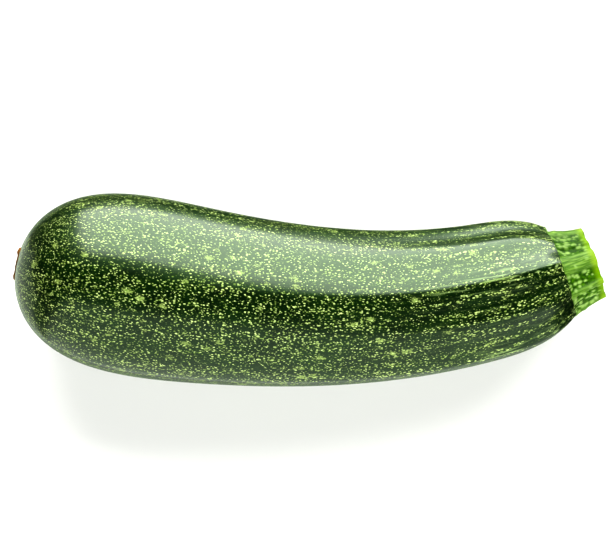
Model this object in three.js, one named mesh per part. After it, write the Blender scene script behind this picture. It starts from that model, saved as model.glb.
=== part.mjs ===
// A courgette as picked: the speckled fruit with its five soft ridges, the short ribbed stub of
// stem that it was cut with, and the corky scar that the flower left. Millimetres, +Z up. The
// courgette lies on its side along X with its stem towards +X, and both ends bend towards +Y.
import * as THREE from "three";

// The line through the middle of the fruit and the stem is one cubic curve. Each end leaves at
// an angle, in degrees, and keeps near that angle over the length of its handle.
const SPAN = 167.8; // from end to end along X
const BLOSSOM_SWING = 11.9; // how far the blossom end turns towards +Y
const BLOSSOM_HANDLE = 77.7;
const BLOSSOM_HEIGHT = 26.9; // of the line at its blossom end, over the ground
const BLOSSOM_DIP = 0.5; // how steeply it falls from there
const STEM_SWING = 20.8;
const STEM_HANDLE = 55.4;
const STEM_HEIGHT = 19; // at the cut, where the line is level
const STEM_OFFSET = 1.8; // how much farther towards +Y the stem ends than the blossom end

// The fruit: a tapering body, closed by a dome at the blossom end and a shoulder at the stem.
const BODY_RADIUS_AT_BLOSSOM = 29.3; // of the body's straight taper, before the dome takes off
const BODY_RADIUS_AT_STEM = 18.2;
const DOME_LENGTH = 57;
const DOME_FULLNESS = 3.25; // 2 is an ellipse, and more is blunter
const SHOULDER_LENGTH = 24;
const SHOULDER_FULLNESS = 3;
const REST_DEPTH = 0.8; // how deep the underside is flattened where the fruit lies

// Five ridges run from end to end. A minor one shows in each flat between them near the stem.
const RIDGES = 5;
const RIDGE_TURN = 6; // degrees from straight up, over towards -Y, to the first ridge
const RIDGE_AT_BLOSSOM = 0.01; // heights as shares of the radius
const RIDGE_AT_STEM = 0.03;
const MINOR_RIDGE_AT_STEM = 0.01;

// The stem stub, cut square across.
const STEM_LENGTH = 10.3;
const STEM_BASE_RADIUS = 13.2; // over the ridges
const STEM_CUT_RADIUS = 10.8;
const STEM_RIDGE = 0.06;
const STEM_MINOR_RIDGE = 0.03;
const STEM_FLARE = 1.4; // how fast the flare at the base dies away

// The blossom scar: a low corky disc with a raised rim and a dished middle.
const SCAR_RADIUS = 4.8;
const SCAR_THICKNESS = 0.9;
const SCAR_RIM = 0.9; // width of the rim
const SCAR_DISH = 0.4; // depth of the middle below the rim

const SEAT_GAP = 0.3; // between the fruit and each piece that it carries
const FRUIT_AROUND = 60;
const FRUIT_ALONG = 40;
const STEM_ALONG = 6;
const SCAR_AROUND = 36;

const radians = THREE.MathUtils.degToRad;
const up = new THREE.Vector3(0, 0, 1);

function makeAxis() {
  const blossom = radians(BLOSSOM_SWING);
  const dip = Math.tan(radians(BLOSSOM_DIP));
  const stem = radians(STEM_SWING);
  const start = new THREE.Vector3(0, 0, BLOSSOM_HEIGHT);
  const belly = new THREE.Vector3(Math.cos(blossom), -Math.sin(blossom), -dip);
  belly.multiplyScalar(BLOSSOM_HANDLE).add(start);
  const end = new THREE.Vector3(SPAN, STEM_OFFSET, STEM_HEIGHT);
  const neck = new THREE.Vector3(-Math.cos(stem), -Math.sin(stem), 0);
  neck.multiplyScalar(STEM_HANDLE).add(end);
  const axis = new THREE.CubicBezierCurve3(start, belly, neck, end);
  axis.arcLengthDivisions = 1000;
  return axis;
}

const axis = makeAxis();
const axisLength = axis.getLength();
const fruitLength = axisLength - STEM_LENGTH;

// The point at a distance along the axis, at an angle round it from straight up over towards -Y,
// and at a distance out from it.
function place(along, angle, out) {
  const u = THREE.MathUtils.clamp(along / axisLength, 0, 1);
  const tangent = axis.getTangentAt(u);
  const side = new THREE.Vector3().crossVectors(tangent, up).normalize();
  const top = new THREE.Vector3().crossVectors(side, tangent);
  return axis
    .getPointAt(u)
    .addScaledVector(top, out * Math.cos(angle))
    .addScaledVector(side, out * Math.sin(angle));
}

// A rounded end: the share of the full radius at a distance from a flat seat of a given share.
function roundedEnd(distance, length, fullness, seatShare) {
  const start = 1 - Math.pow(1 - seatShare * seatShare, 1 / fullness);
  const u = Math.min(start + (distance / length) * (1 - start), 1);
  return Math.sqrt(1 - Math.pow(1 - u, fullness));
}

function ridged(angle, height, minorHeight) {
  const turn = RIDGES * (angle - radians(RIDGE_TURN));
  return 1 + height * Math.cos(turn) + minorHeight * Math.cos(2 * turn);
}

function fruitRadius(along, angle) {
  const share = along / fruitLength;
  const taper = THREE.MathUtils.lerp(BODY_RADIUS_AT_BLOSSOM, BODY_RADIUS_AT_STEM, share);
  const dome = roundedEnd(along, DOME_LENGTH, DOME_FULLNESS, SCAR_RADIUS / BODY_RADIUS_AT_BLOSSOM);
  const seat = STEM_BASE_RADIUS / BODY_RADIUS_AT_STEM;
  const shoulder = roundedEnd(fruitLength - along, SHOULDER_LENGTH, SHOULDER_FULLNESS, seat);
  const height = THREE.MathUtils.lerp(RIDGE_AT_BLOSSOM, RIDGE_AT_STEM, share * share);
  const minor = MINOR_RIDGE_AT_STEM * Math.pow(share, 4);
  return taper * dome * shoulder * ridged(angle, height, minor);
}

function stemRadius(along, angle) {
  const share = THREE.MathUtils.clamp((along - fruitLength) / STEM_LENGTH, 0, 1);
  const flare = Math.pow(1 - share, STEM_FLARE);
  const crest = THREE.MathUtils.lerp(STEM_CUT_RADIUS, STEM_BASE_RADIUS, flare);
  const highest = 1 + STEM_RIDGE + STEM_MINOR_RIDGE;
  return (crest / highest) * ridged(angle, STEM_RIDGE, STEM_MINOR_RIDGE);
}

// A closed cylinder of unit size, bent along the axis and swelled to a radius at each place.
function bentCylinder(from, to, radiusAt, rings, ringShare) {
  const geometry = new THREE.CylinderGeometry(1, 1, 1, FRUIT_AROUND, rings);
  const position = geometry.getAttribute("position");
  for (let i = 0; i < position.count; i++) {
    const along = THREE.MathUtils.lerp(from, to, ringShare(position.getY(i) + 0.5));
    const angle = Math.atan2(position.getX(i), position.getZ(i));
    const reach = Math.hypot(position.getX(i), position.getZ(i));
    const point = place(along, angle, reach * radiusAt(along, angle));
    position.setXYZ(i, point.x, point.y, point.z);
  }
  return geometry;
}

const evenly = (share) => share;
const closerAtTheEnds = (share) => (1 - Math.cos(Math.PI * share)) / 2;

// Lays everything below a level flat on it.
function flattenBelow(geometry, level) {
  const position = geometry.getAttribute("position");
  for (let i = 0; i < position.count; i++) {
    position.setZ(i, Math.max(position.getZ(i), level));
  }
}

function makeFruit() {
  const geometry = bentCylinder(0, fruitLength, fruitRadius, FRUIT_ALONG, closerAtTheEnds);
  geometry.computeBoundingBox();
  flattenBelow(geometry, geometry.boundingBox.min.z + REST_DEPTH);
  geometry.computeVertexNormals();
  const rind = new THREE.MeshStandardMaterial({ color: 0x2c5a22, roughness: 0.35, metalness: 0 });
  const fruit = new THREE.Mesh(geometry, rind);
  fruit.name = "fruit";
  return fruit;
}

function makeStem() {
  const base = fruitLength + SEAT_GAP;
  const geometry = bentCylinder(base, axisLength, stemRadius, STEM_ALONG, evenly);
  geometry.computeVertexNormals();
  const green = new THREE.MeshStandardMaterial({ color: 0x6fb038, roughness: 0.5, metalness: 0 });
  const stem = new THREE.Mesh(geometry, green);
  stem.name = "stem";
  return stem;
}

function makeBlossomScar() {
  const rimCentre = SCAR_RADIUS - SCAR_RIM / 2;
  const rimHeight = SCAR_THICKNESS - SCAR_RIM / 2;
  const rim = new THREE.EllipseCurve(rimCentre, rimHeight, SCAR_RIM / 2, SCAR_RIM / 2, 0, Math.PI);
  const profile = [
    new THREE.Vector2(0, 0),
    new THREE.Vector2(SCAR_RADIUS, 0),
    ...rim.getPoints(6),
    new THREE.Vector2(rimCentre * 0.6, SCAR_THICKNESS - SCAR_DISH),
    new THREE.Vector2(0, SCAR_THICKNESS - SCAR_DISH),
  ];
  const cork = new THREE.MeshStandardMaterial({ color: 0xa9713a, roughness: 0.9, metalness: 0 });
  const scar = new THREE.Mesh(new THREE.LatheGeometry(profile, SCAR_AROUND), cork);
  const outward = axis.getTangentAt(0).negate();
  scar.quaternion.setFromUnitVectors(new THREE.Vector3(0, 1, 0), outward);
  scar.position.copy(axis.getPointAt(0)).addScaledVector(outward, SEAT_GAP);
  scar.name = "blossom_scar";
  return scar;
}

const courgette = new THREE.Group();
courgette.add(makeFruit(), makeStem(), makeBlossomScar());
const box = new THREE.Box3().setFromObject(courgette, true);
const middle = box.getCenter(new THREE.Vector3());
courgette.position.set(-middle.x, -middle.y, -box.min.z);

export default courgette;
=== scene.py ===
# A courgette as picked. The speckled rind, the ribbed stub of stem and the corky scar that the
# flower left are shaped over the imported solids, in metres and in the same frame.
import math
import random

import bmesh
import bpy
import numpy as np
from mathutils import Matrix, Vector, noise


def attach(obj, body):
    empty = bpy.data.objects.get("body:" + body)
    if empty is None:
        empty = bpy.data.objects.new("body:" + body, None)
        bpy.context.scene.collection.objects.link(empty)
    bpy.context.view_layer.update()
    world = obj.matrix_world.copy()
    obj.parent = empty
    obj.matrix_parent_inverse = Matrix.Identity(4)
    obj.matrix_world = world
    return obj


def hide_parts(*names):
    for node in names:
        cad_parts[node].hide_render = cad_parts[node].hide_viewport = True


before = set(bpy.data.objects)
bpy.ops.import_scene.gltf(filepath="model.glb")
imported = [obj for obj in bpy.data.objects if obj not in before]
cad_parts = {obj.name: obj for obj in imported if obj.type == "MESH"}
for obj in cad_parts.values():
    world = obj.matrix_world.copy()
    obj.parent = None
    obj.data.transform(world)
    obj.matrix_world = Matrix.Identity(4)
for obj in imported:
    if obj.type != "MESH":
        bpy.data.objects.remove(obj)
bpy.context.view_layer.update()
print("frame loaded:", ", ".join(sorted(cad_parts)))

camera = {
    "lens": 300,  # millimetres, on a 36 mm wide sensor
    "distance": 1.485,
    "elevation": 78,  # degrees above the ground
    "aim": (-0.00093, 0.00368, 0.0263),
    "farthest": 10,
}


def placeCamera():
    elevation = math.radians(camera["elevation"])
    back = Vector((0, -math.cos(elevation), math.sin(elevation)))
    bpy.ops.object.camera_add(location=Vector(camera["aim"]) + back * camera["distance"])
    made = bpy.context.object
    made.rotation_euler = (math.pi / 2 - elevation, 0, 0)
    made.data.lens = camera["lens"]
    made.data.clip_end = camera["farthest"]
    bpy.context.scene.camera = made
    print("camera placed")


placeCamera()

millimetre = 0.001
tiny = 1e-6  # places closer than this are the same

# The line that the courgette grows along, from the blossom end to the cut across the stem.
growth = {
    "start": (-0.08474, 0.0080, 0.02622),
    "span": 0.1678,  # along X, to the cut
    "blossomSwing": 11.9,  # degrees that the blossom end turns towards +Y
    "blossomHandle": 0.0777,  # how far the line keeps near that direction
    "blossomDip": 0.5,  # degrees that it falls from there
    "stemSwing": 20.8,
    "stemHandle": 0.0554,
    "stemOffset": 0.0018,  # how much farther towards +Y the stem end is
    "stemDrop": 0.0079,  # how much lower the stem end is
    "stemLength": 0.0103,
    "points": 2001,
}

rind = {
    "radiusAtBlossom": 0.0293,
    "radiusAtStem": 0.0182,
    "domeLength": 0.057,
    "domeFullness": 3.25,  # 2 is an ellipse, and more is blunter
    "shoulderLength": 0.024,
    "shoulderFullness": 3,
    "ridges": 5,
    "ridgeTurn": 6,  # degrees from straight up, over towards -Y
    "ridgeTwist": -7,  # how much further they turn by the stem
    "ridgeAtBlossom": 0.01,  # their height as a share of the radius
    "ridgeAtStem": 0.03,
    "minorAtStem": 0.034,  # the lesser ridges between them
    "bead": 0.00013,  # the fine raised line that runs along each ridge
    "beadAtStem": 0.0004,
    "beadWidth": 4,  # degrees
    "crestWidth": 6.4,  # degrees of each ridge that are paler by the stem
    "scarRadius": 0.0048,
    "stemRadius": 0.0132,
    "around": 160,
    "cuts": (20, 11),  # the sides are cut into 20 rings, and each of those into 11
    "profilePoints": 3001,
    "smoothAngle": 50,
    "patternRadius": 0.025,  # the speckles are laid out on a rind of this radius
    "patternTaper": 0.7,  # 1 lets that follow the real radius, and 0 keeps it even
    # distances from the blossom end, and how long the pattern is there beside the rind
    "patternLength": [(0, 0.62), (0.02, 0.6), (0.115, 0.6), (0.145, 0.5)],
    "patternLengthAtStem": 0.46,
    # how far from the stem and from the scar the rows of dots start to gather, and are full
    "stemReach": (0.06, 0.008),
    "scarReach": (0.03, 0.006),
}


def growthLine():
    swing, turn = math.radians(growth["blossomSwing"]), math.radians(growth["stemSwing"])
    dip = math.tan(math.radians(growth["blossomDip"]))
    start = np.array(growth["start"])
    belly = start + growth["blossomHandle"] * np.array([math.cos(swing), -math.sin(swing), -dip])
    end = start + np.array([growth["span"], growth["stemOffset"], -growth["stemDrop"]])
    neck = end - growth["stemHandle"] * np.array([math.cos(turn), math.sin(turn), 0])
    t = np.linspace(0, 1, growth["points"])[:, None]
    points = (1 - t) ** 3 * start + 3 * (1 - t) ** 2 * t * belly + 3 * (1 - t) * t**2 * neck + t**3 * end
    slopes = (
        3 * (1 - t) ** 2 * (belly - start) + 6 * (1 - t) * t * (neck - belly) + 3 * t**2 * (end - neck)
    )
    steps = np.linalg.norm(np.diff(points, axis=0), axis=1)
    return np.concatenate([[0], np.cumsum(steps)]), points, slopes / np.linalg.norm(slopes, axis=1)[:, None]


lineLength, linePoints, lineSlopes = growthLine()
wholeLength = lineLength[-1]
stemLength = growth["stemLength"]
fruitLength = wholeLength - stemLength


# The places at a distance along the line, an angle from straight up over towards -Y, and a
# distance out from the line. Past either end, the line runs on straight.
def place(along, angle, out):
    held = np.clip(along, 0, wholeLength)
    point = np.stack([np.interp(held, lineLength, linePoints[:, i]) for i in range(3)], axis=1)
    slope = np.stack([np.interp(held, lineLength, lineSlopes[:, i]) for i in range(3)], axis=1)
    slope /= np.linalg.norm(slope, axis=1)[:, None]
    side = np.cross(slope, np.array([0.0, 0.0, 1.0]))
    side /= np.linalg.norm(side, axis=1)[:, None]
    top = np.cross(side, slope)
    point = point + slope * (along - held)[:, None]
    return point + top * (out * np.cos(angle))[:, None] + side * (out * np.sin(angle))[:, None]


# A rounded end's radius at a distance from its seat, which has this share of the full radius.
def roundedEnd(distance, length, fullness, seatShare):
    start = 1 - (1 - seatShare**2) ** (1 / fullness)
    u = np.clip(start + distance / length * (1 - start), 0, 1)
    return np.sqrt(1 - (1 - u) ** fullness)


def rindRadius(along, angle):
    share = along / fruitLength
    taper = rind["radiusAtBlossom"] + (rind["radiusAtStem"] - rind["radiusAtBlossom"]) * share
    dome = roundedEnd(
        along, rind["domeLength"], rind["domeFullness"], rind["scarRadius"] / rind["radiusAtBlossom"]
    )
    shoulder = roundedEnd(
        fruitLength - along,
        rind["shoulderLength"],
        rind["shoulderFullness"],
        rind["stemRadius"] / rind["radiusAtStem"],
    )
    height = rind["ridgeAtBlossom"] + (rind["ridgeAtStem"] - rind["ridgeAtBlossom"]) * share**2
    turn = rind["ridges"] * (angle - np.radians(ridgeAngle(share)))
    ridged = 1 + height * np.cos(turn) + rind["minorAtStem"] * share**3 * np.cos(2 * turn)
    bead = rind["bead"] + (rind["beadAtStem"] - rind["bead"]) * share**3
    return taper * dome * shoulder * ridged + bead * onCrest(angle, share, rind["beadWidth"]) * dome


def ridgeAngle(share):
    return rind["ridgeTurn"] + rind["ridgeTwist"] * share**3


# 1 along the top of each ridge, falling off to either side.
def onCrest(angle, share, width):
    between = 360 / rind["ridges"]
    off = (np.degrees(angle) - ridgeAngle(share) + between / 2) % between - between / 2
    return np.exp(-((off / width) ** 2))


# 0 below low and 1 above high, or the other way round where low is the larger.
def smooth(low, high, value):
    t = np.clip((value - low) / (high - low), 0, 1)
    return t * t * (3 - 2 * t)


# How many degrees each angle, which is in radians, is from a middle in degrees.
def degreesOff(angle, middle):
    return np.abs((np.degrees(angle) - middle + 180) % 360 - 180)


def isNear(first, second):
    return abs(first - second) < tiny


def deselectAll():
    if bpy.context.mode != "OBJECT":
        bpy.ops.object.mode_set(mode="OBJECT")
    bpy.ops.object.select_all(action="DESELECT")


# Selects, in edit mode, the edges or faces that the test picks out.
def editSelection(kind, chosen):
    bpy.ops.mesh.select_mode(type=kind)
    bpy.ops.mesh.select_all(action="DESELECT")
    mesh = bmesh.from_edit_mesh(bpy.context.object.data)
    for part in mesh.edges if kind == "EDGE" else mesh.faces:
        if chosen(part):
            part.select_set(True)
    mesh.select_flush_mode()
    bmesh.update_edit_mesh(bpy.context.object.data)


# A straight round bar along X, cut into rings, with its two end faces inset into rings as well.
def straightBar(name, start, length, radius, around, cuts, startRings, endRings):
    deselectAll()
    bpy.ops.mesh.primitive_cylinder_add(
        vertices=around,
        radius=radius,
        depth=length,
        location=(start + length / 2, 0, 0),
        rotation=(0, math.pi / 2, 0),
    )
    bar = bpy.context.object
    bar.name = bar.data.name = name
    bpy.ops.object.transform_apply(location=True, rotation=True, scale=True)
    bpy.ops.object.mode_set(mode="EDIT")
    for number in cuts:
        editSelection("EDGE", lambda edge: not isNear(edge.verts[0].co.x, edge.verts[1].co.x))
        bpy.ops.mesh.subdivide(number_cuts=number - 1)
    flatShare = math.cos(math.pi / around)  # a side's middle is this much nearer than its corners
    for end, rings in ((start, startRings), (start + length, endRings)):
        editSelection("FACE", lambda face: len(face.verts) > 4 and isNear(face.calc_center_median().x, end))
        for ring in range(rings):
            bpy.ops.mesh.inset(thickness=radius / (rings + 1) * flatShare, depth=0)
        bpy.ops.mesh.poke()
    bpy.ops.object.mode_set(mode="OBJECT")
    return bar


# Where a bar's points are: along it, around it, and out from 0 to 1.
def readBar(piece, radius):
    places = np.empty(len(piece.data.vertices) * 3)
    piece.data.vertices.foreach_get("co", places)
    places = places.reshape(-1, 3)
    angle = np.arctan2(places[:, 1], places[:, 2])
    reach = np.clip(np.hypot(places[:, 1], places[:, 2]) / radius, 0, 1)
    return places, angle, reach


def writePlaces(piece, places):
    piece.data.vertices.foreach_set("co", np.ascontiguousarray(places, dtype=np.float32).ravel())
    piece.data.update()


def giveAttribute(piece, name, values):
    kind = "FLOAT_VECTOR" if values.ndim == 2 else "FLOAT"
    layer = piece.data.attributes.new(name, kind, "POINT")
    layer.data.foreach_set("vector" if values.ndim == 2 else "value", values.astype(np.float32).ravel())


def smoothFaces(piece, angle):
    deselectAll()
    piece.select_set(True)
    bpy.context.view_layer.objects.active = piece
    bpy.ops.object.shade_smooth_by_angle(angle=math.radians(angle))


def dress(piece, material):
    piece.data.materials.clear()
    piece.data.materials.append(material)


# Lays a piece's sides out as a rectangle of the map that it is baked through, and each of its
# two ends as a disc beside that.
def layOutMap(piece, across, angle, endOf, reach, sideBox, discs):
    layer = piece.data.uv_layers.new(name="OFBake") if not piece.data.uv_layers else piece.data.uv_layers[0]
    layer.name = "OFBake"
    low, high = sideBox
    spots = np.zeros((len(piece.data.loops), 2))
    for face in piece.data.polygons:
        ids = list(face.vertices)
        ends = endOf[ids]
        if ends[0] and (ends == ends[0]).all() and (reach[ids] < 0.999).any():
            centre, size = discs[0 if ends[0] < 0 else 1]
            for loop, i in zip(face.loop_indices, ids):
                spots[loop] = (
                    centre[0] + size * reach[i] * math.cos(angle[i]),
                    centre[1] + size * reach[i] * math.sin(angle[i]),
                )
            continue
        turns = angle[ids]
        if turns.max() - turns.min() > math.pi:
            turns = np.where(turns < 0, turns + 2 * math.pi, turns)
        for loop, i, turn in zip(face.loop_indices, ids, turns):
            spots[loop] = (
                low[0] + (high[0] - low[0]) * across[i],
                low[1] + (high[1] - low[1]) * (turn + math.pi) / (2 * math.pi),
            )
    layer.data.foreach_set("uv", spots.ravel())


# An output of a node, on which sums can be written as Python expressions.
class Wire:
    def __init__(self, finish, socket):
        self.finish = finish
        self.socket = socket

    def maths(self, operation, first, second):
        return self.finish.node("ShaderNodeMath", {"operation": operation}, {0: first, 1: second})

    def __add__(self, other):
        return self.maths("ADD", self, other)

    def __radd__(self, other):
        return self.maths("ADD", other, self)

    def __sub__(self, other):
        return self.maths("SUBTRACT", self, other)

    def __rsub__(self, other):
        return self.maths("SUBTRACT", other, self)

    def __mul__(self, other):
        return self.maths("MULTIPLY", self, other)

    def __rmul__(self, other):
        return self.maths("MULTIPLY", other, self)


# A material, and the nodes that its pattern is made of.
class Finish:
    def __init__(self, name, settings):
        self.material = bpy.data.materials.new(name)
        self.material.use_nodes = True
        self.tree = self.material.node_tree
        self.shader = self.tree.nodes["Principled BSDF"]
        for socket, value in settings.items():
            self.shader.inputs[socket].default_value = value

    def node(self, kind, settings, sockets, output=0):
        made = self.tree.nodes.new(kind)
        for key, value in settings.items():
            setattr(made, key, value)
        for key, value in sockets.items():
            if isinstance(key, int):
                socket = made.inputs[key]
            else:
                socket = next(s for s in made.inputs if key in (s.identifier, s.name))
            if isinstance(value, Wire):
                self.tree.links.new(value.socket, socket)
            else:
                socket.default_value = (*value, 1) if socket.type == "RGBA" else value
        if isinstance(output, int):
            return Wire(self, made.outputs[output])
        return Wire(self, next(s for s in made.outputs if output in (s.identifier, s.name)))

    def attribute(self, name, output="Vector"):
        return self.node("ShaderNodeAttribute", {"attribute_name": name}, {}, output)

    def mix(self, factor, first, second):
        sockets = {"Factor_Float": factor, "A_Color": first, "B_Color": second}
        return self.node("ShaderNodeMix", {"data_type": "RGBA"}, sockets, "Result_Color")

    # the same as smooth above, on a wire
    def step(self, low, high, value):
        sockets = {"Value": value, "From Min": low, "From Max": high}
        return self.node("ShaderNodeMapRange", {"interpolation_type": "SMOOTHSTEP"}, sockets)

    def scaled(self, vector, factors):
        return self.node("ShaderNodeVectorMath", {"operation": "MULTIPLY"}, {0: vector, 1: factors})

    def shifted(self, vector, other):
        return self.node("ShaderNodeVectorMath", {"operation": "ADD"}, {0: vector, 1: other})

    # the vector, pushed about by a cloud
    def strayed(self, vector, scale, detail, amount):
        push = self.scaled(self.cloud(vector, scale, detail, "Color"), (amount, amount, amount))
        return self.shifted(vector, push)

    def cloud(self, vector, scale, detail, output="Fac"):
        sockets = {"Vector": vector, "Scale": scale, "Detail": detail}
        return self.node("ShaderNodeTexNoise", {}, sockets, output)

    def cells(self, vector, scale, output="Distance"):
        sockets = {"Vector": vector, "Scale": scale}
        return self.node("ShaderNodeTexVoronoi", {"feature": "F1"}, sockets, output)

    # a number from 0 to 1 that each cell draws for itself, with three to choose from
    def cellLuck(self, vector, scale, channel):
        drawn = self.cells(vector, scale, "Color")
        return self.node("ShaderNodeSeparateColor", {}, {"Color": drawn}, channel)

    def larger(self, first, second):
        return self.node("ShaderNodeMath", {"operation": "MAXIMUM"}, {0: first, 1: second})

    def wear(self, **sockets):
        for name, value in sockets.items():
            self.tree.links.new(value.socket, self.shader.inputs[name.replace("_", " ")])

    def bump(self, height, strength, distance):
        sockets = {"Height": height, "Strength": strength, "Distance": distance}
        self.wear(Normal=self.node("ShaderNodeBump", {}, sockets, "Normal"))


speckles = {
    "deep": (0.0004, 0.0048, 0.0001),  # the two greens of the rind under them
    # the paler one is partly the rind's own paler patches and partly painted light on the side towards the
    # softbox
    "freshAndLitGreen": (0.0045, 0.025, 0.001),
    "dot": (0.19, 0.28, 0.05),
    "dotPale": (0.47, 0.57, 0.22),
    "dots": 1.85,  # to a millimetre of the pattern, as the two below
    "fineDots": 2.1,
    "blotches": 0.3,
    "dotSize": 0.225,
    "dotSpread": 0.13,  # how much larger the largest are
    "dotStray": 0.5,
    "blotch": (0.36, 0.46, 0.13),
    "blotchMiddle": (0.09, 0.22, 0.015),
    "blotchSpread": 0.25,
    "blotchFray": 3.2,
    "streak": (0.26, 0.36, 0.13),
    "bumpHeight": 0.00006,
    "shine": {
        "IOR": 1.5,
        "Specular Tint": (0.6, 1, 0.5, 1),
        "Coat Weight": 0.8,
        "Coat Roughness": 0.2,
        "Coat IOR": 1.45,
    },
}


def makeRindFinish():
    skin = Finish("speckledRind", speckles["shine"])
    spot = skin.attribute("skinPlace")  # millimetres on the unrolled rind
    meridian = skin.attribute("meridianPlace")  # the same, on a rind that is as wide all along
    nearStem = skin.attribute("nearStem", "Fac")
    nearScar = skin.attribute("nearScar", "Fac")
    crest = skin.attribute("crest", "Fac")
    paintedLightSide = skin.attribute("paintedLightSide", "Fac")

    # lanes that run from end to end, which the dots gather in or leave bare
    lane = skin.step(0.36, 0.6, skin.cloud(skin.scaled(spot, (1, 1, 0.05)), 0.3, 1.0))
    row = skin.step(0.38, 0.62, skin.cloud(skin.scaled(meridian, (1, 1, 0.12)), 0.62, 1.0))

    # small ragged dots
    strayed = skin.strayed(spot, 1.5, 2.0, speckles["dotStray"])
    luck = skin.cellLuck(strayed, speckles["dots"], "Red")
    paleness = skin.cellLuck(strayed, speckles["dots"], "Green")
    rowWeight = 0.09 + 0.24 * nearStem + 0.05 * nearScar
    dotSize = speckles["dotSize"] + luck * speckles["dotSpread"] + (row - 0.5) * rowWeight
    dotSize = dotSize + lane * 0.03 - 0.08 * nearStem
    dots = skin.step(0.06, -0.06, skin.cells(strayed, speckles["dots"]) - dotSize)

    # finer ones between them
    fineSize = 0.32 * skin.cellLuck(strayed, speckles["fineDots"], "Blue") + row * 0.1
    fine = skin.step(0.12, -0.12, skin.cells(strayed, speckles["fineDots"]) - fineSize)

    # ragged blotches, greener in the middle
    frayed = skin.strayed(spot, 2.6, 3.0, speckles["blotchFray"])
    blotchSize = speckles["blotchSpread"] * skin.cellLuck(frayed, speckles["blotches"], "Red") - 0.01
    blotchEdge = skin.cells(frayed, speckles["blotches"]) - blotchSize
    blotches = skin.step(0.08, -0.07, blotchEdge)
    blotchMiddles = skin.step(-0.06, -0.16, blotchEdge + 0.12 * skin.cloud(spot, 2.4, 2.0) - 0.06)

    # the green under them is patchy, and paler on the crests by the stem; it is also painted paler on the
    # side that faces the softbox, towards +Y, as painted light
    patches = skin.step(0.35, 0.68, skin.cloud(spot, 0.16, 3.0))
    mottle = skin.step(0.4, 0.7, skin.cloud(skin.scaled(spot, (1, 1, 0.35)), 0.9, 3.0))
    freshAndLitShare = 0.04 + 0.3 * patches + 0.3 * mottle + 0.5 * paintedLightSide
    green = skin.mix(freshAndLitShare, speckles["deep"], speckles["freshAndLitGreen"])
    streaks = skin.step(0.5, 0.72, skin.cloud(skin.scaled(spot, (1.5, 1.5, 0.12)), 0.9, 3.0))
    green = skin.mix(streaks * nearStem * (0.15 + 0.9 * crest), green, speckles["streak"])

    blotchColour = skin.mix(blotchMiddles * 0.55, speckles["blotch"], speckles["blotchMiddle"])
    colour = skin.mix(blotches * 0.62, green, blotchColour)
    colour = skin.mix(fine * 0.26, colour, speckles["dot"])
    dotColour = skin.mix(paleness, speckles["dot"], speckles["dotPale"])
    colour = skin.mix(dots * (0.65 + 0.35 * paleness), colour, dotColour)

    grain = skin.cloud(spot, 3.2, 3.0)
    pores = skin.cloud(spot, 0.55, 2.0)
    dents = skin.cloud(skin.scaled(spot, (1, 1, 0.3)), 0.16, 1.0)
    raised = skin.larger(dots, blotches)
    skin.bump(raised * 0.5 + grain * 0.45 + pores * 1.2 + dents * 5, 0.6, speckles["bumpHeight"])
    skin.wear(Base_Color=colour, Roughness=0.3 + 0.1 * raised + 0.12 * grain)
    return skin.material


# Tells the finish where each point of the rind is in its pattern.
def layOutSpeckles(piece, along, angle, reach, skin, profile, mean):
    shareAt, shares = zip(*rind["patternLength"], (fruitLength, rind["patternLengthAtStem"]))
    share = np.interp(profile, shareAt, shares)
    laid = np.concatenate([[0], np.cumsum(np.diff(skin) * share[1:])])
    endwise = np.interp(along, profile, laid)
    wide = rind["patternRadius"]
    girth = wide * (np.interp(along, profile, mean) / wide) ** rind["patternTaper"]
    skinPlace = np.stack([girth * reach * np.cos(angle), girth * reach * np.sin(angle), endwise], axis=1)
    giveAttribute(piece, "skinPlace", skinPlace / millimetre)
    meridianPlace = np.stack([wide * np.cos(angle), wide * np.sin(angle), endwise], axis=1)
    giveAttribute(piece, "meridianPlace", meridianPlace / millimetre)
    giveAttribute(piece, "nearStem", smooth(*rind["stemReach"], fruitLength - along))
    giveAttribute(piece, "nearScar", smooth(*rind["scarReach"], along))
    giveAttribute(piece, "crest", onCrest(angle, along / fruitLength, rind["crestWidth"]))
    # painted light: 1 on the side towards +Y, facing the softbox, where the green is painted paler
    giveAttribute(piece, "paintedLightSide", (0.5 - 0.5 * np.sin(angle)) ** 2)


def growRind():
    radius = rind["radiusAtBlossom"]
    piece = straightBar("speckled_rind", 0, fruitLength, radius, rind["around"], rind["cuts"], 1, 1)
    bar, angle, reach = readBar(piece, radius)
    even = np.clip(bar[:, 0] / fruitLength, 0, 1)
    along = fruitLength * (1 - np.cos(math.pi * even)) / 2  # closer together towards the ends
    shaped = place(along, angle, rindRadius(along, angle) * reach)
    shaped[:, 2] = np.maximum(shaped[:, 2], 0)  # flat where it lies on the ground
    writePlaces(piece, shaped)

    # how far a point is along the rind itself, rather than along the line inside it
    profile = np.linspace(0, fruitLength, rind["profilePoints"])
    halfway = math.radians(rind["ridgeTurn"]) + math.pi / (2 * rind["ridges"])
    mean = rindRadius(profile, np.full_like(profile, halfway))
    skin = np.concatenate([[0], np.cumsum(np.hypot(np.diff(profile), np.diff(mean)))])
    across = np.interp(along, profile, skin) / skin[-1]
    layOutSpeckles(piece, along, angle, reach, skin, profile, mean)

    endOf = np.where(even < tiny, -1, np.where(even > 1 - tiny, 1, 0))
    sides = ((0.005, 0.12), (0.995, 0.995))
    discs = (((0.05, 0.055), 0.045), ((0.16, 0.055), 0.045))
    layOutMap(piece, across, angle, endOf, reach, sides, discs)
    smoothFaces(piece, rind["smoothAngle"])
    dress(piece, makeRindFinish())
    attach(piece, "root")
    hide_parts("fruit")
    print("rind grown")


growRind()

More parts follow.
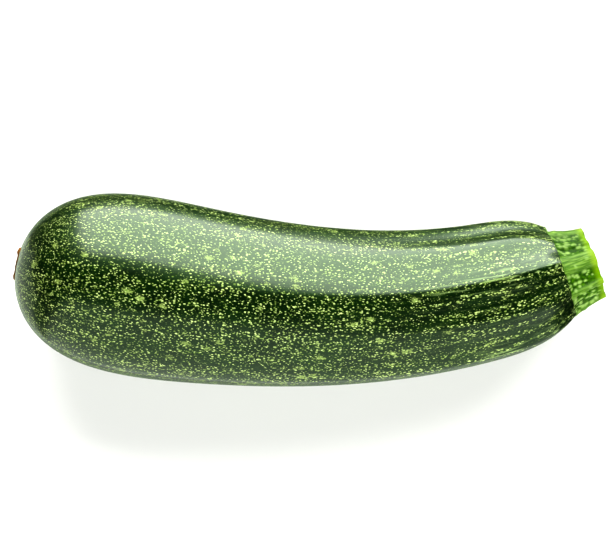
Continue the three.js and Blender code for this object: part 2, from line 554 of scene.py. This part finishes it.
# The stub of stem. Each green or pith has its darker colour first.
stem = {
    "skirt": 0.0013,  # how far the feet of the ribs run down over the shoulder
    "cutRadius": 0.0108,
    "flare": 1.4,
    "ribLead": 0.0003,  # how much further the ribs reach at the cut
    "valleyAtBase": 0.0017,
    "valleyAtCut": 0.0012,
    "foot": 0.0010,  # how much fuller the valleys are where they meet the shoulder
    "footShare": 0.07,  # how soon that fades, as a share of the stub
    "skirtProud": 0.00022,  # how far the ribs' feet stand up from the rind
    "skirtSink": 0.0006,  # and how far under it they end
    "valleySink": 0.0005,
    "faceSink": 0.00035,  # how far the middle of the cut sinks
    "faceEdge": 0.00022,  # how much its edge is rounded
    "faceRough": 0.00012,
    "around": 220,
    "cuts": (6, 9),
    "faceRings": 14,
    "smoothAngle": 55,
    # each rib: degrees from straight up over towards -Y, half its width in degrees, its height
    "ribs": [
        (2, 16, 1.0),
        (46, 6, 0.8),
        (102, 12, 1.0),
        (128, 5, 0.5),
        (152, 15, 0.95),
        (190, 6, 0.55),
        (222, 15, 1.0),
        (258, 5, 0.5),
        (293, 14, 1.0),
        (331, 5, 0.3),
    ],
    "warts": 250,
    "wartSize": (0.00034, 0.0009),
    "wartAlong": (0.04, 0.86),  # shares of the stub's length
    "wartLift": 0.5,
    "wartOnRib": 0.12,  # how many of those that fall on a rib are kept
    "wartRadius": 0.0118,  # of the stub where they sit
    "seed": 7,
    "bundles": 10,
    "bundleRing": 0.66,  # how far out on the cut they are
    # the valleys' greens are partly the stub's own darker green and partly painted shade in the grooves
    "valleyGreenAndShade": ((0.015, 0.058, 0.0), (0.065, 0.17, 0.001)),
    "ribGreen": ((0.05, 0.125, 0.012), (0.16, 0.27, 0.05)),
    "wartGreen": (0.3, 0.45, 0.13),
    "lime": ((0.16, 0.29, 0.0), (0.21, 0.33, 0.02)),  # by the cut
    "pith": ((0.3, 0.4, 0.12), (0.42, 0.48, 0.24)),
    "pithFleck": (0.5, 0.54, 0.32),
    "bundleGreen": (0.13, 0.26, 0.05),
    "rimGreen": (0.09, 0.2, 0.02),
    "bumpHeight": 0.00012,
    "shine": {
        "IOR": 1.45,
        "Specular IOR Level": 0.2,
        "Subsurface Weight": 0.1,
        "Subsurface Scale": 0.001,
        "Subsurface Radius": (0.6, 1.0, 0.2),
    },
}


def stemRibs(angle):
    highest = np.zeros_like(angle)
    for middle, half, height in stem["ribs"]:
        slope = smooth(half * 1.25, half * 0.45, degreesOff(angle, middle))
        highest = np.maximum(highest, height * slope)
    return highest


def makeStemFinish():
    flesh = Finish("stemFlesh", stem["shine"])
    spot = flesh.attribute("stemPlace")
    rib = flesh.attribute("rib", "Fac")
    wart = flesh.attribute("wart", "Fac")
    fromCut = flesh.attribute("fromCut", "Fac")  # millimetres
    onCut = flesh.attribute("onCut", "Fac")
    cutReach = flesh.attribute("cutReach", "Fac")
    bundle = flesh.attribute("bundle", "Fac")
    paintedShadeSide = flesh.attribute("paintedShadeSide", "Fac")

    fibres = flesh.cloud(flesh.scaled(spot, (1, 1, 0.1)), 2.2, 3.0)
    mottle = flesh.cloud(spot, 1.1, 3.0)
    # painted shade: the valleys and their warts are painted darker on the side towards +Y, which faces the
    # softbox
    valleyColourAndShade = flesh.mix(flesh.step(0.35, 0.7, mottle) * (1 - 0.8 * paintedShadeSide), *stem["valleyGreenAndShade"])
    ribColour = flesh.mix(flesh.step(0.3, 0.7, fibres), *stem["ribGreen"])
    # the ribs over the valleys, whose darker green is partly painted shade in the grooves
    colour = flesh.mix(flesh.step(0.25, 0.8, rib), valleyColourAndShade, ribColour)
    colour = flesh.mix(wart * (0.95 - 0.6 * paintedShadeSide), colour, stem["wartGreen"])
    limeBand = flesh.step(2.6, 0.4, fromCut + 1.6 * mottle - 0.8)
    colour = flesh.mix(limeBand * 0.85, colour, flesh.mix(rib, *stem["lime"]))

    # the cut across it
    flecks = flesh.step(0.45, 0.75, flesh.cloud(spot, 1.6, 4.0))
    pith = flesh.mix(flesh.step(0.62, 0.25, cutReach), *stem["pith"])
    pith = flesh.mix(flecks * 0.35, pith, stem["pithFleck"])
    pith = flesh.mix(bundle * 0.8, pith, stem["bundleGreen"])
    pith = flesh.mix(flesh.step(0.9, 0.97, cutReach), pith, stem["rimGreen"])
    colour = flesh.mix(onCut, colour, pith)

    grain = flesh.cloud(spot, 3.5, 3.0)
    flesh.bump(grain * 0.6 + fibres * 0.8, 0.6, stem["bumpHeight"])
    flesh.wear(Base_Color=colour, Roughness=0.44 - 0.14 * rib - 0.08 * onCut + 0.1 * grain)
    return flesh.material


# How much of a wart is at each point of the sides, and how far it lifts them. They sit mostly
# in the valleys.
def scatterWarts(angle, share, side):
    draw = random.Random(stem["seed"])
    wart = np.zeros(len(angle))
    lift = np.zeros(len(angle))
    made = 0
    while made < stem["warts"]:
        turn = draw.uniform(-math.pi, math.pi)
        middle = draw.uniform(*stem["wartAlong"])
        size = draw.uniform(*stem["wartSize"])
        onRib = float(stemRibs(np.array([turn]))[0]) > 0.45
        if onRib and draw.random() > stem["wartOnRib"]:
            continue
        off = (angle - turn + math.pi) % (2 * math.pi) - math.pi
        far = np.hypot(off * stem["wartRadius"] / size, (share - middle) * stemLength / (size * 1.35))
        swelling = np.exp(-(far**2) * 1.1) * side
        wart = np.maximum(wart, swelling)
        lift = np.maximum(lift, swelling * size * stem["wartLift"])
        made += 1
    return wart, lift


# How far out the sides are. Past the shoulder's edge the ribs lie on the rind, and the valleys
# dive under it.
def stemSides(along, angle, share, rib):
    left = np.clip(1 - share, 0, 1)
    crest = stem["cutRadius"] + (rind["stemRadius"] - stem["cutRadius"]) * left ** stem["flare"]
    depth = stem["valleyAtCut"] + (stem["valleyAtBase"] - stem["valleyAtCut"]) * left
    foot = stem["foot"] * np.exp(-np.clip(share, 0, 1) / stem["footShare"])
    upper = crest - depth * (1 - rib) + foot * (1 - rib)
    under = rindRadius(np.minimum(along, fruitLength), angle)
    sinking = np.clip(-share * stemLength / stem["skirt"], 0, 1)
    skirt = under + stem["skirtProud"] * (1 - sinking) * rib - stem["skirtSink"] * sinking
    return np.where(share < 0, skirt - stem["valleySink"] * (1 - rib), upper)


# How far the cut face stands out of flat: a soft rim, and a middle that sinks a little.
def cutFace(bar, reach):
    sunk = -stem["faceSink"] * smooth(0.97, 0.35, reach) - stem["faceEdge"] * smooth(0.93, 1.0, reach)
    rough = np.array([noise.noise(Vector((y * 260, z * 260, 3.0))) for y, z in bar[:, 1:]])
    return sunk + stem["faceRough"] * rough * (reach < 0.98)


def growStem():
    start, length = fruitLength - stem["skirt"], stemLength + stem["skirt"]
    radius = rind["stemRadius"]
    piece = straightBar(
        "ribbed_stem", start, length, radius, stem["around"], stem["cuts"], 1, stem["faceRings"]
    )
    bar, angle, reach = readBar(piece, radius)
    share = (bar[:, 0] - fruitLength) / stemLength
    onSide = reach > 0.999
    onEnd = share > 1 - tiny
    rib = stemRibs(angle)
    wart, lift = scatterWarts(angle, share, onSide)
    out = stemSides(bar[:, 0], angle, share, rib) + lift
    along = bar[:, 0] + np.where(onEnd, cutFace(bar, reach), 0)
    along = along + stem["ribLead"] * rib * smooth(0.75, 1.0, share) * smooth(0.5, 0.95, reach)
    writePlaces(piece, place(along, angle, out * np.where(onSide, 1, reach * 0.985)))

    giveAttribute(piece, "stemPlace", np.stack([bar[:, 1], bar[:, 2], along], axis=1) / millimetre)
    giveAttribute(piece, "rib", rib)
    giveAttribute(piece, "wart", smooth(0.25, 1.0, wart) * (0.5 + 0.5 * (1 - rib)))
    giveAttribute(piece, "fromCut", (wholeLength - along) / millimetre)
    giveAttribute(piece, "onCut", (onEnd & (reach < 0.985)).astype(float))
    giveAttribute(piece, "cutReach", reach)
    # painted shade: 1 on the side towards +Y, whose valleys and warts are painted darker
    giveAttribute(piece, "paintedShadeSide", (0.5 - 0.5 * np.sin(angle)) ** 2)
    spacing = smooth(0.35, 0.8, np.cos(stem["bundles"] * (angle - 0.2)))
    ring = np.exp(-(((reach - stem["bundleRing"]) / 0.07) ** 2)) * spacing
    giveAttribute(piece, "bundle", ring * onEnd)

    # the sides run up the map here, because the stub is so short
    endOf = np.where(bar[:, 0] < start + tiny, -1, np.where(onEnd, 1, 0))
    across = np.clip((along - start) / length, 0, 1)
    sides = ((0.79, 0.01), (0.995, 0.995))
    discs = (((0.7, 0.06), 0.05), ((0.38, 0.5), 0.37))
    layOutMap(piece, across, angle, endOf, reach, sides, discs)
    smoothFaces(piece, stem["smoothAngle"])
    dress(piece, makeStemFinish())
    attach(piece, "root")
    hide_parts("stem")
    print("stem grown")


growStem()

scar = {
    "thickness": 0.0004,
    "around": 120,
    "cuts": (4,),
    "faceRings": 16,
    "smoothAngle": 60,
    # lumps on the rim: degrees from straight up over towards -Y, half width, height in metres
    "lumps": [
        (-48, 20, 0.00045),
        (-92, 14, 0.0003),
        (95, 16, 0.00035),
        (132, 14, 0.0005),
        (20, 18, 0.0001),
        (185, 22, 0.0004),
        (240, 16, 0.0005),
    ],
    "knob": 0.00025,  # the middle, which stands up in a shallow dish
    "dish": 0.00014,
    "fold": 0.00008,
    "folds": 11,
    "rough": 0.00012,
    "edge": 0.00034,  # how much the rim is rounded
    "brown": ((0.05, 0.025, 0.006), (0.2, 0.11, 0.025)),  # the darker one first
    "lumpBrown": (0.28, 0.12, 0.018),
    "crackBrown": (0.04, 0.016, 0.006),
    "bumpHeight": 0.0003,
}


def makeCorkFinish():
    cork = Finish("driedCork", {"Roughness": 0.85, "IOR": 1.45})
    spot = cork.attribute("scarPlace")
    lump = cork.attribute("lump", "Fac")
    flakes = cork.cloud(spot, 1.3, 4.0)
    cracks = cork.cells(spot, 1.1)
    colour = cork.mix(cork.step(0.3, 0.72, flakes), *scar["brown"])
    colour = cork.mix(lump, colour, scar["lumpBrown"])
    colour = cork.mix(cork.step(0.62, 0.8, cracks) * 0.6, colour, scar["crackBrown"])
    cork.bump(flakes - 0.6 * cracks, 0.8, scar["bumpHeight"])
    cork.wear(Base_Color=colour)
    return cork.material


def growScar():
    thickness, radius = scar["thickness"], rind["scarRadius"]
    length = 1.6 * thickness  # some of it is sunk in the rind
    piece = straightBar(
        "blossom_cork", -thickness, length, radius, scar["around"], scar["cuts"], scar["faceRings"], 1
    )
    bar, angle, reach = readBar(piece, radius)
    lump = np.zeros(len(bar))
    for middle, half, height in scar["lumps"]:
        lump = np.maximum(lump, height * smooth(half * 1.3, half * 0.2, degreesOff(angle, middle)))
    onFace = bar[:, 0] < -thickness + 1e-7
    onRim = smooth(0.62, 0.8, reach)
    rough = np.array([noise.noise(Vector(p * 900)) for p in bar]) * scar["rough"]
    radial = np.cos(angle * scar["folds"] + 3 * reach)
    fold = scar["fold"] * radial * smooth(0.15, 0.5, reach) * (1 - onRim)
    knob = scar["knob"] * smooth(0.22, 0.05, reach) - scar["dish"] * smooth(0.75, 0.45, reach)
    rounding = scar["edge"] * smooth(0.78, 1.0, reach)
    along = bar[:, 0] - np.where(onFace, lump * onRim + knob + fold + rough - rounding, 0)
    out = radius * reach * (1 + 0.03 * np.cos(3 * angle + 1) + 0.02 * np.cos(7 * angle))
    writePlaces(piece, place(along, angle, out))
    giveAttribute(piece, "scarPlace", np.stack([bar[:, 1], bar[:, 2], along], axis=1) / millimetre)
    giveAttribute(piece, "lump", (0.4 + 0.6 * smooth(0.0002, 0.0006, lump)) * onRim)
    smoothFaces(piece, scar["smoothAngle"])
    dress(piece, makeCorkFinish())
    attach(piece, "root")
    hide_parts("blossom_scar")
    print("scar grown")


growScar()

# The floor, and the lights around it. Those below the floor light the courgette's sides, and a
# light is turned to the height of its level: 0 is the ground, and 1 its own height.
studio = {
    "floor": (0.73, 0.73, 0.72),
    "floorSize": 8,
    "world": (0.02, 0.021, 0.02),
    "lights": {
        "softbox": {"place": (0.2, 0.92, 0.51), "size": (1.7, 1.58), "watts": 40, "tint": (1.0, 1.0, 0.98)},
        "frontCard": {
            "place": (0.0, -1.1, -0.88),
            "size": (3, 3.7),
            "watts": 33,
            "tint": (0.93, 1.0, 0.9),
            "level": 1,
        },
        "edgeCard": {"place": (0.0, 0.35, -1.6), "size": (1.9, 1.9), "watts": 3.8, "tint": (0.8, 1.0, 0.75)},
        "sideCard": {"place": (-1.1, 0.1, -0.9), "size": (1.2, 1.6), "watts": 4, "tint": (0.9, 1.0, 0.85)},
        "fill": {
            "place": (0.0, -0.85, 0.85),
            "size": (1.5, 1.5),
            "watts": 21,
            "tint": (1, 1, 1),
            "shine": False,
        },
    },
}


def makeFloor():
    deselectAll()
    bpy.ops.mesh.primitive_plane_add(size=studio["floorSize"], location=(0, 0, -0.0001))
    floor = bpy.context.object
    floor.name = "floor"
    dress(floor, Finish("palePaper", {"Roughness": 0.9, "Base Color": (*studio["floor"], 1)}).material)
    floor.visible_glossy = False


def makeLight(name, spec):
    here = Vector(spec["place"])
    target = Vector((0, 0, here.z * spec.get("level", 0)))
    bpy.ops.object.light_add(type="AREA", location=here)
    lamp = bpy.context.object
    lamp.name = name
    lamp.data.shape = "RECTANGLE"
    lamp.data.size, lamp.data.size_y = spec["size"]
    lamp.data.energy = spec["watts"]
    lamp.data.color = spec["tint"]
    lamp.visible_camera = False
    lamp.visible_glossy = spec.get("shine", True)
    lamp.rotation_euler = (target - here).to_track_quat("-Z", "Y").to_euler()


def lightStudio():
    makeFloor()
    for name, spec in studio["lights"].items():
        makeLight(name, spec)
    world = bpy.data.worlds.new("studio")
    world.use_nodes = True
    world.node_tree.nodes["Background"].inputs["Color"].default_value = (*studio["world"], 1)
    bpy.context.scene.world = world
    bpy.context.scene.view_settings.view_transform = "Standard"
    bpy.context.scene.view_settings.look = "High Contrast"
    print("studio lit")


lightStudio()
